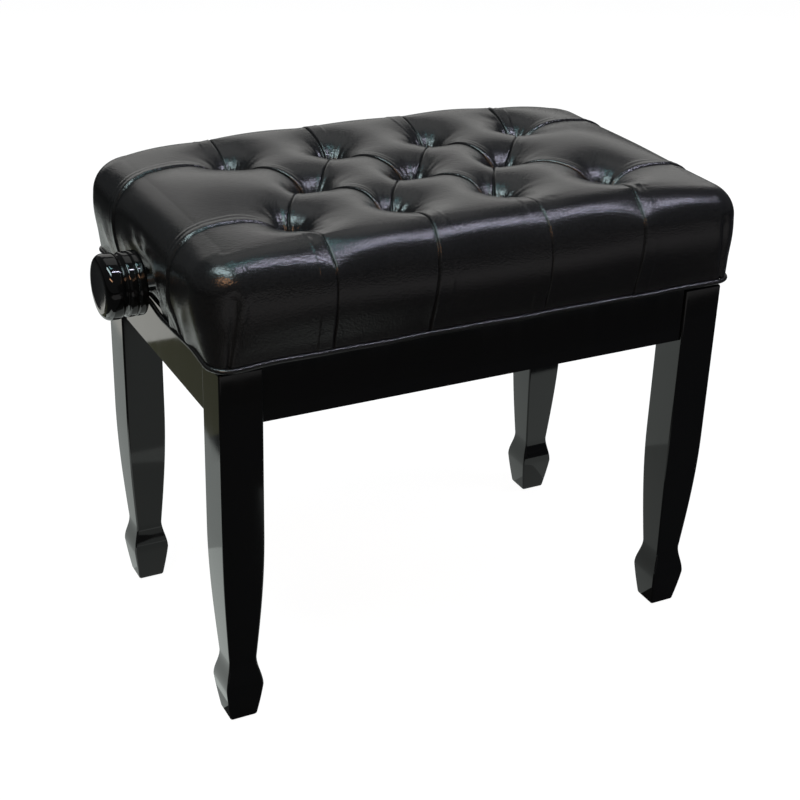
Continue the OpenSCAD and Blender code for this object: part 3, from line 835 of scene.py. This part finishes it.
def add_puckers(height, u, v):
    """Adds the small radial puckers round each tuft to the relief, and keeps the buttons' places flat."""
    near = np.array(tuft_distances(u, v))
    height[near.min(axis=0) < BUTTON_RADIUS] = 0
    for index, (x, y) in enumerate(TUFTS):
        turn = np.arctan2(v - y, u - x)
        count = 11 + index % 3
        pucker = np.cos(turn * count + index * 1.7) * 0.6 + np.cos(turn * (count + 5) - index) * 0.4
        reach = ease(near[index], BUTTON_RADIUS * 0.9, BUTTON_RADIUS + 0.004)
        height += 0.0006 * pucker * reach * np.exp(-np.maximum(near[index] - 0.012, 0) / 0.011)


def add_pleats(cover):
    """Presses the pleats into the cover, along its own normals."""
    points = cover.points()
    u, v = cover.flat()
    height = np.zeros(len(points))
    shift = np.zeros((len(points), 2))
    for fold in diagonal_folds + outer_folds:
        across, along = fold.measure(u, v)
        relief, lean = fold_relief(fold, across, along)
        height += relief
        left = np.array([-fold.way[1], fold.way[0]]) * fold.lip
        shift += lean[:, None] * left
    add_puckers(height, u, v)
    along_u, along_v = shift_directions(u, v)
    moved = points + cover.normals() * height[:, None]
    cover.set_points(moved + along_u * shift[:, :1] + along_v * shift[:, 1:])


def shift_directions(u, v):
    """Directions in space of a step along u and along v on the flattened cover."""
    over_end = np.abs(u) > top_x
    over_side = np.abs(v) > top_y
    along_u = np.where(over_end[:, None], (0.0, 0.0, 0.0), (1.0, 0.0, 0.0))
    along_v = np.where(over_side[:, None], (0.0, 0.0, 0.0), (0.0, 1.0, 0.0))
    return along_u, along_v


def lean_straight_folds(cover):
    """Lets the pleats on the sides lean, by drawing the whole surface sideways around them."""
    points = cover.points()
    u, v = cover.flat()
    for leans, sign in ((FRONT_LEANS, -1), (REAR_LEANS, 1)):
        down = ease(sign * v, TUFT_STEP_Y, top_y + skirt_length)
        for i, lean in zip((-1.5, -0.5, 0.5, 1.5), leans):
            near = np.exp(-(((u - i * TUFT_STEP_X) / 0.03) ** 2))
            points[:, 0] += lean * down * near
    for leans, sign in ((LEFT_LEANS, -1), (RIGHT_LEANS, 1)):
        out = ease(sign * u, 1.5 * TUFT_STEP_X, top_x + skirt_length)
        for row, lean in zip((-1, 1), leans):
            near = np.exp(-(((v - row * TUFT_STEP_Y) / 0.028) ** 2))
            points[:, 1] += lean * out * near
    cover.set_points(points)


# How far along X each tuft was sewn from its regular place, in the order of TUFTS.
TUFT_NUDGES = (
    -0.0016, -0.0055, -0.0027, 0.0055,
    -0.0015, -0.0030, -0.0085,
    0.0020, 0.0016, 0.0038, 0.0,
)


def nudge_tufts(cover):
    """Moves the leather round each tuft to where it was really sewn, and bends the light pleats."""
    points = cover.points()
    u, v = cover.flat()
    for nudge, distance in zip(TUFT_NUDGES, tuft_distances(u, v)):
        points[:, 0] += nudge * np.exp(-(distance / 0.045) ** 2)
    for fold in diagonal_folds:
        across, along = fold.measure(u, v)
        bent = np.clip(1 - np.abs(2 * along - 1) ** 4, 0, 1)
        points[:, 0] += fold.bow * bent * np.exp(-((across / 0.022) ** 2))
    cover.set_points(points)


def shape_ends(cover):
    """Gathers the leather in towards the shaft at both ends, with soft folds running to it."""
    points = cover.points()
    x, y, z = points.T
    side = np.sign(x)
    reach_x = np.abs(x)
    end = ease(reach_x, 0.262, 0.272) * (1 - ease(z, 0.452, 0.468))
    down = z - SCREW_HEIGHT
    distance = np.hypot(y, down)
    turn = np.arctan2(down, y)
    pulled = 0.0145 * np.exp(-((distance / 0.024) ** 2)) + 0.004 * np.exp(-((distance / 0.05) ** 2))
    gather = np.cos(turn * 9 + 0.6) * 0.0007 * np.exp(-(((distance - 0.034) / 0.018) ** 2))
    # soft folds that rise from the shaft and from the hem
    hang = ease(-down, -0.034, 0.0)
    ridges = sum(
        height * np.exp(-(((y - place - lean * down) / width) ** 2))
        for place, lean, width, height in END_FOLDS
    )
    change = (gather + ridges * hang - pulled) * end
    limit = BOX_END + 0.0008
    new_x = np.where(reach_x > limit, np.maximum(reach_x + change, limit), reach_x)
    inside_hole = (distance < 0.0078) & (reach_x > limit)
    new_x = np.where(inside_hole, BOX_END - 0.004, new_x)
    points[:, 0] = side * new_x
    cover.set_points(points)


def corner_folds(cover):
    """The soft upright folds near each corner of the sides, where spare leather is tucked."""
    skirt = cover.skirt.copy()
    out = cover.out
    bend = 0.034                    # length of a corner's turn for each radian
    fold_turn = math.radians(15)    # how far round the corner a fold lies, from the front or rear
    fold_start = EDGE_ROWS * 0.7
    turned = np.arctan2(np.abs(out[:, 0]), np.abs(out[:, 1]))
    edge_x = np.abs(border_of(cover.top_u))
    straight = edge_x - flat_x - fold_turn * bend
    across = np.where(edge_x > flat_x - 0.0001, (turned - fold_turn) * bend, straight)
    for row in range(len(skirt)):
        share = (row + 1 - fold_start) / (len(skirt) - fold_start)
        strength = ease(share, 0.0, 0.25)
        ridge = 0.0012 * np.exp(-(((across + 0.0080) / 0.0030) ** 2)) * (1 - ease(share, 0.2, 0.7))
        groove = -0.0030 * np.exp(-((across / (0.0048 - 0.0024 * max(0, share))) ** 2))
        relief = (ridge + groove) * strength
        skirt[row, :, :2] += out * relief[:, None]
    cover.skirt = skirt


def make_cushion():
    """The tufted leather cushion, and the foam core that fills it."""
    cover = Cover()
    simulate_cover(cover)
    lean_straight_folds(cover)
    nudge_tufts(cover)
    shape_ends(cover)
    corner_folds(cover)
    add_pleats(cover)
    top, rings = cover.indices()
    points = cover.points()
    roof = (board_low.z + board_high.z) / 2
    under = underside_rings(points[rings[-1]], roof)
    points, side_faces = closed_below(points, rings, under, roof)
    faces = [list(face) for face in split_top(top, cover.top_u, cover.top_v)] + side_faces
    cushion = mesh_piece("tufted_cushion", points, faces)
    finish_piece(cushion, "seat", "black_leather", "leather_cover")
    make_foam(cover)


def make_foam(cover):
    """The foam core: the cover's coarse shape, a little smaller, fitted round the seat box."""
    inset, gap = 0.0065, 0.0003
    used, top, rings = coarse_copy(cover)
    points = (cover.points() - cover.normals() * inset)[used]
    points[:, 2] = np.maximum(points[:, 2], seat_box_low.z + 0.0005)
    last = points[rings[-1]]
    floor = board_high.z + gap
    heights = (last[:, 2].mean(), floor)
    under = [fitted_ring(last, BOX_END + gap, BOX_SIDE + gap, height) for height in heights]
    points, side_faces = closed_below(points, rings, under, floor)
    faces = [list(face) for face in grid_quads(top)] + side_faces
    foam = mesh_piece("foam_core", points, faces)
    finish_piece(foam, "seat", "foam", "foam_pad")


# ---- Piping and buttons ----

PIPING_SIDES = 14
PIPING_STEP = 0.004


def piping_path():
    """The piping's middle line in plan, in short steps, and the way outward along it."""
    places, outs = rounded_rectangle(HEM_X, HEM_Y, PIPING_CORNER, 12)
    path, out = [], []
    for index, place in enumerate(places):
        after = (index + 1) % len(places)
        parts = max(1, int(np.linalg.norm(places[after] - place) / PIPING_STEP))
        for part in range(parts):
            share = part / parts
            path.append(place + (places[after] - place) * share)
            out.append(outs[index] * (1 - share) + outs[after] * share)
    out = np.array(out)
    return np.array(path), out / np.linalg.norm(out, axis=1, keepdims=True)


def make_piping():
    """The welt cord round the lower edge, pulled slightly out of line by its stitches."""
    path, out = piping_path()
    level = (piping_low.z + piping_high.z) / 2 + hem_wave(path[:, 0], path[:, 1])
    turns = 2 * math.pi * np.arange(PIPING_SIDES) / PIPING_SIDES
    reach = PIPING_RADIUS * np.cos(turns)[:, None]
    rise = PIPING_RADIUS * np.sin(turns)
    points, faces = [], []
    count = len(path)
    for index in range(count):
        plan = path[index] + out[index] * reach
        points += [(x, y, level[index] + z) for (x, y), z in zip(plan, rise)]
        here, after = index * PIPING_SIDES, (index + 1) % count * PIPING_SIDES
        for side in range(PIPING_SIDES):
            other = (side + 1) % PIPING_SIDES
            faces.append((here + side, after + side, after + other, here + other))
    piece = mesh_piece("cushion_piping", points, faces)
    finish_piece(piece, "seat", "black_leather", "piping")


def make_buttons():
    """Leather-covered buttons, domed and tucked in round their rims."""
    around, rings = 40, 9
    height = button_high.z - button_low.z
    points, faces = [], []
    for number, ((x, y), nudge) in enumerate(zip(TUFTS, TUFT_NUDGES)):
        first = len(points)
        lean_x, lean_y = 0.03 * math.cos(number * 2.1), 0.03 * math.sin(number * 1.3)
        for ring in range(rings):
            turned = math.radians(-35 + 125 * ring / rings)
            rise = height * (0.30 + (0.70 if turned > 0 else 0.50) * math.sin(turned))
            for step in range(around):
                angle = 2 * math.pi * step / around
                pleat = 1 + 0.012 * math.cos(angle * 10) * (1 - ring / rings)
                reach = BUTTON_RADIUS * math.cos(turned) * pleat
                px, py = reach * math.cos(angle), reach * math.sin(angle)
                tilt = px * lean_x + py * lean_y
                points.append((x + nudge + px, y + py, BUTTON_SEAT + rise + tilt))
        crown = len(points)
        points.append((x + nudge, y, BUTTON_SEAT + height))
        faces += tube_faces(rings, around, first)
        last = crown - around
        faces += [(last + step, last + (step + 1) % around, crown) for step in range(around)]
        faces.append(tuple(first + step for step in reversed(range(around))))
    piece = mesh_piece("covered_buttons", points, faces)
    finish_piece(piece, "seat", "black_leather", "tufting_buttons")


# ---- Legs, aprons and knobs ----

# Half widths and heights of a leg, from the floor up.
FOOT_HALF = 0.0134
SPADE_HALF = 0.0192
SPADE_HEIGHT = 0.0393
ANKLE_HALF = 0.0142
ANKLE_HEIGHT = 0.0700
TAPER_HEIGHT = 0.210        # the leg is square above this
ARRIS = 0.0018              # radius of its softened edges


def leg_half(height, square_half):
    """Half width of a leg at a height: a spade foot, a narrow ankle and a gently swelling taper."""
    if height < SPADE_HEIGHT:
        share = height / SPADE_HEIGHT
        bulge = 0.75 * share + 0.25 * math.sin(math.pi / 2 * share)
        return FOOT_HALF + (SPADE_HALF - FOOT_HALF) * bulge
    if height < ANKLE_HEIGHT:
        share = (height - SPADE_HEIGHT) / (ANKLE_HEIGHT - SPADE_HEIGHT)
        return ANKLE_HALF + (SPADE_HALF - ANKLE_HALF) * (1 + math.cos(math.pi * share)) / 2
    if height < TAPER_HEIGHT:
        share = (height - ANKLE_HEIGHT) / (TAPER_HEIGHT - ANKLE_HEIGHT)
        return ANKLE_HALF + (square_half - ANKLE_HALF) * math.sin(math.pi / 2 * share)
    return square_half


def make_leg(node):
    """A leg lofted through its profile, with softened arrises."""
    low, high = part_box(node)
    centre_x, centre_y = (low.x + high.x) / 2, (low.y + high.y) / 2
    square_half = (high.x - low.x) / 2
    heights = [low.z, low.z + ARRIS * 0.3, low.z + ARRIS]
    heights += list(np.linspace(low.z + 0.004, SPADE_HEIGHT, 12))
    heights += list(np.linspace(SPADE_HEIGHT, ANKLE_HEIGHT, 19)[1:])
    heights += list(np.linspace(ANKLE_HEIGHT, TAPER_HEIGHT, 29)[1:])
    heights += [high.z - 0.05, high.z - ARRIS, high.z - ARRIS * 0.3, high.z]
    insets = {0: ARRIS, 1: ARRIS * 0.3, len(heights) - 2: ARRIS * 0.3, len(heights) - 1: ARRIS}
    points = []
    for index, height in enumerate(heights):
        half = leg_half(height, square_half) - insets.get(index, 0)
        outline, _ = rounded_rectangle(half, half, ARRIS, 4)
        points += [(centre_x + x, centre_y + y, height) for x, y in outline]
    around = len(points) // len(heights)
    faces = tube_faces(len(heights), around)
    faces.append(tuple(reversed(range(around))))
    faces.append(tuple(range(len(points) - around, len(points))))
    piece = mesh_piece(node.replace("leg_", "spade_leg_"), points, faces)
    # keeps the flat faces flat beside their rounded arrises
    weighted = piece.modifiers.new("weighted_normals", "WEIGHTED_NORMAL")
    weighted.keep_sharp = True
    weighted.weight = 100
    finish_piece(piece, "base", "black_lacquer", node)


def soften(node, width):
    """Softens the arrises of a CAD node without touching its mesh."""
    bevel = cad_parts[node].modifiers.new("arris", "BEVEL")
    bevel.width = width
    bevel.segments = 3
    bevel.limit_method = "ANGLE"
    bevel.angle_limit = math.radians(40)
    bevel.harden_normals = True


KNOB_RINGS = ((0.0, 0.0087), (0.0087, 0.0174))      # start and end of each ring along the screw
KNOB_RING_DROP = 0.0011     # how far a ring's edges fall below its crest


def knob_outline(length, radius):
    """Outline of a knob as (distance along the screw from its inner face, radius)."""
    ring = radius - 0.0006          # radius of the two rings
    groove = ring - 0.0026          # radius in the groove between them and the body
    body_start = 0.0200
    shoulder = 0.0055               # rounding of the body beside the groove
    rim = 0.0080                    # rounding of the body's outer edge
    dish = radius - 0.0095          # radius of the slightly hollow face
    dish_depth = 0.0005

    def arc(centre_along, centre_radius, size, start, end, steps=8):
        angles = np.radians(np.linspace(start, end, steps + 1))
        return [(centre_along + size * math.cos(a), centre_radius + size * math.sin(a)) for a in angles]

    line = [(0.0, 0.008)]
    for start, end in KNOB_RINGS:
        for step in range(17):
            share = -math.cos(math.pi * step / 16)
            place = start + (end - start) * (share + 1) / 2
            line.append((place, ring - KNOB_RING_DROP * abs(share) ** 6))
    line += [(0.0182, groove), (body_start - 0.0002, groove)]
    line += arc(body_start + shoulder, radius - shoulder, shoulder, 180, 90)
    line += arc(length - rim, radius - rim, rim, 90, 12, 14)
    for step in range(13):
        share = 1 - step / 12
        line.append((length - dish_depth * (1 - share * share), dish * share))
    return line


def make_knob(node, side):
    """A turned knob with two rings, a groove and a slightly hollow face. side is -1 for the left end."""
    low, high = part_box(node)
    radius = (high.z - low.z) / 2
    length = high.x - low.x
    inner_face = high.x if side < 0 else low.x
    *outline, (face, _) = knob_outline(length, radius)
    around = 128
    points = []
    for along, reach in outline:
        for step in range(around):
            angle = 2 * math.pi * step / around
            y, z = reach * math.cos(angle), SCREW_HEIGHT + reach * math.sin(angle)
            points.append((inner_face + side * along, y, z))
    tip = len(points)
    points.append((inner_face + side * face, 0, SCREW_HEIGHT))
    faces = tube_faces(len(outline), around)
    start = tip - around
    faces += [(start + step, start + (step + 1) % around, tip) for step in range(around)]
    faces.append(tuple(reversed(range(around))))
    if side < 0:
        faces = [corners[::-1] for corners in faces]
    piece = mesh_piece(node.replace("knob", "turned_knob"), points, faces)
    finish_piece(piece, "screw", "black_lacquer", node)


# ---- Materials of the CAD nodes that stay ----


def dress_cad_nodes():
    """Gives every CAD node the procedural material of its own slot."""
    for name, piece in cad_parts.items():
        for slot in piece.material_slots:
            slot.material = LOOKS[slot.material.name.split(".")[0]]


# ---- Stage, light and camera ----


def aim(thing, place, target):
    """Puts a light or camera at a place and turns it to a target."""
    thing.location = place
    thing.rotation_mode = "QUATERNION"
    thing.rotation_quaternion = (Vector(target) - Vector(place)).to_track_quat("-Z", "Y")


def panel_light(name, place, target, size, radiance, colour):
    """A soft rectangular light of a given brightness, which the camera doesn't see."""
    data = bpy.data.lights.new(name, "AREA")
    data.shape = "RECTANGLE"
    data.size, data.size_y = size
    data.energy = radiance * math.pi * size[0] * size[1]
    data.color = colour
    lamp = bpy.data.objects.new(name, data)
    bpy.context.scene.collection.objects.link(lamp)
    aim(lamp, place, target)
    lamp.visible_camera = False
    return lamp


def pick_by_ray(tree, seen, reflected, out):
    """Shows the camera one shader, and reflections and shadows another."""
    path = tree.nodes.new("ShaderNodeLightPath")
    pick = tree.nodes.new("ShaderNodeMixShader")
    tree.links.new(path.outputs["Is Camera Ray"], pick.inputs[0])
    tree.links.new(reflected.outputs[0], pick.inputs[1])
    tree.links.new(seen.outputs[0], pick.inputs[2])
    tree.links.new(pick.outputs[0], out.inputs["Surface"])


def plain_shader(tree, kind, grey, strength=None):
    """A shader node of one grey, with a strength where it gives light."""
    node = tree.nodes.new(kind)
    node.inputs["Color"].default_value = (grey, grey, grey, 1)
    if strength is not None:
        node.inputs["Strength"].default_value = strength
    return node


def make_stage():
    """A plain pale floor under even, soft light."""
    size, level = 14, -0.0002
    corners = [(-size, -size, level), (size, -size, level), (size, size, level), (-size, size, level)]
    floor = mesh_piece("studio_floor", corners, [(0, 1, 2, 3)], smooth=False)
    material = bpy.data.materials.new("studio_floor_paper")
    material.use_nodes = True
    tree = material.node_tree
    tree.nodes.clear()
    seen = tree.nodes.new("ShaderNodeAddShader")
    glow = plain_shader(tree, "ShaderNodeEmission", 1, 0.97)
    paper = plain_shader(tree, "ShaderNodeBsdfDiffuse", 0.12)
    tree.links.new(glow.outputs[0], seen.inputs[0])
    tree.links.new(paper.outputs[0], seen.inputs[1])
    dark_paper = plain_shader(tree, "ShaderNodeBsdfDiffuse", 0.06)
    pick_by_ray(tree, seen, dark_paper, tree.nodes.new("ShaderNodeOutputMaterial"))
    floor.data.materials.append(material)


def make_world():
    """Even pale surroundings behind the bench and a dim room in its reflections."""
    world = bpy.data.worlds.new("studio")
    bpy.context.scene.world = world
    world.use_nodes = True
    tree = world.node_tree
    tree.nodes.clear()
    pale = plain_shader(tree, "ShaderNodeBackground", 1, 1.0)
    room = plain_shader(tree, "ShaderNodeBackground", 1, 0.07)
    room.inputs["Color"].default_value = (0.95, 0.97, 1.0, 1)
    pick_by_ray(tree, pale, room, tree.nodes.new("ShaderNodeOutputWorld"))


def floor_card(name, west, east, south, north, radiance, colour=(0.93, 1.0, 0.96), turn=0.0):
    """A flat lit card on the floor, which shows only in reflections, turned about its middle."""
    centre = ((west + east) / 2, (south + north) / 2, 0.001)
    above = (centre[0], centre[1], 1.0)
    card = panel_light(name, centre, above, (east - west, north - south), radiance, colour)
    card.rotation_quaternion = Quaternion((0, 0, 1), math.radians(turn)) @ card.rotation_quaternion
    return card


def make_lights():
    """Softboxes above and behind, small lamps in front, and the lit sheet that the bench stands on."""
    seat = (0, 0, cover_high.z)
    panel_light("rear_softbox", (0.9, 2.3, 1.35), seat, (3.4, 1.7), 0.66, (1.0, 0.99, 0.96))
    panel_light("overhead_softbox", (0.1, 1.0, 2.5), seat, (2.2, 1.4), 0.5, (1.0, 1.0, 0.98))
    panel_light("front_strip", (0.95, -0.62, 2.1), (0.95, 0, 0.5), (1.9, 0.05), 70.0, (0.80, 0.80, 1.0))
    panel_light("corner_lamp", (-0.85, -0.45, 2.1), seat, (1.3, 0.36), 15.0, (0.75, 0.97, 1.0))
    panel_light("teal_lamp", (-0.10, -0.12, 2.2), seat, (0.5, 0.16), 9.0, (0.5, 0.95, 1.0))
    panel_light("warm_lamp", (-1.14, -1.37, 1.7), seat, (1.1, 0.18), 14.0, (1.0, 0.55, 0.3))
    floor_card("sheet_under_bench", -0.27, 0.27, -0.13, 0.15, 0.38)
    floor_card("sheet_in_front", -0.147, 0.033, -0.565, -0.065, 0.38, turn=19.1)
    floor_card("sheet_right", 0.27, 0.90, -0.13, 0.15, 0.62)
    floor_card("sheet_behind", -0.465, 0.90, 0.15, 1.30, 0.62)
    floor_card("sheet_near_leg", -0.465, -0.27, -0.13, 0.15, 1.0)
    floor_card("sheet_left", -0.60, -0.465, -0.13, 0.345, 1.4)
    floor_card("sheet_left_rear", -0.60, -0.465, 0.73, 0.93, 1.0, (1.0, 1.0, 0.93))
    floor_card("shaded_sheet", -0.90, -0.465, 0.415, 0.73, 0.10, (1.0, 1.0, 0.5))
    floor_card("far_front", -1.5, 2.5, -3.0, -0.92, 0.28, (1.0, 0.97, 0.97))


CAMERA_PLACE = (-0.7054, -1.3389, 0.9828)
CAMERA_YAW = math.radians(27.532)
CAMERA_PITCH = math.radians(26.444)
CAMERA_ROLL = math.radians(1.835)
CAMERA_LENS = 71.94


def make_camera():
    """The camera at the photograph's viewing angle."""
    data = bpy.data.cameras.new("camera")
    data.lens = CAMERA_LENS
    data.sensor_width = 36
    data.clip_start, data.clip_end = 0.05, 60
    camera = bpy.data.objects.new("camera", data)
    bpy.context.scene.collection.objects.link(camera)
    forward = Vector((
        math.sin(CAMERA_YAW) * math.cos(CAMERA_PITCH),
        math.cos(CAMERA_YAW) * math.cos(CAMERA_PITCH),
        -math.sin(CAMERA_PITCH),
    ))
    level = Vector((math.cos(CAMERA_YAW), -math.sin(CAMERA_YAW), 0))
    upward = level.cross(forward)
    right = level * math.cos(CAMERA_ROLL) + upward * math.sin(CAMERA_ROLL)
    up = upward * math.cos(CAMERA_ROLL) - level * math.sin(CAMERA_ROLL)
    camera.rotation_mode = "QUATERNION"
    camera.rotation_quaternion = Matrix((right, up, -forward)).transposed().to_quaternion()
    camera.location = CAMERA_PLACE
    bpy.context.scene.camera = camera


# ---- The scene ----

make_camera()
make_stage()
make_world()
make_lights()
bpy.context.scene.view_settings.view_transform = "Standard"

dress_cad_nodes()
make_cushion()
make_piping()
make_buttons()
for corner in ("front_left", "front_right", "rear_left", "rear_right"):
    make_leg("leg_" + corner)
for side in ("front", "rear", "left", "right"):
    soften("apron_" + side, 0.0008)
make_knob("knob_left", -1)
make_knob("knob_right", 1)
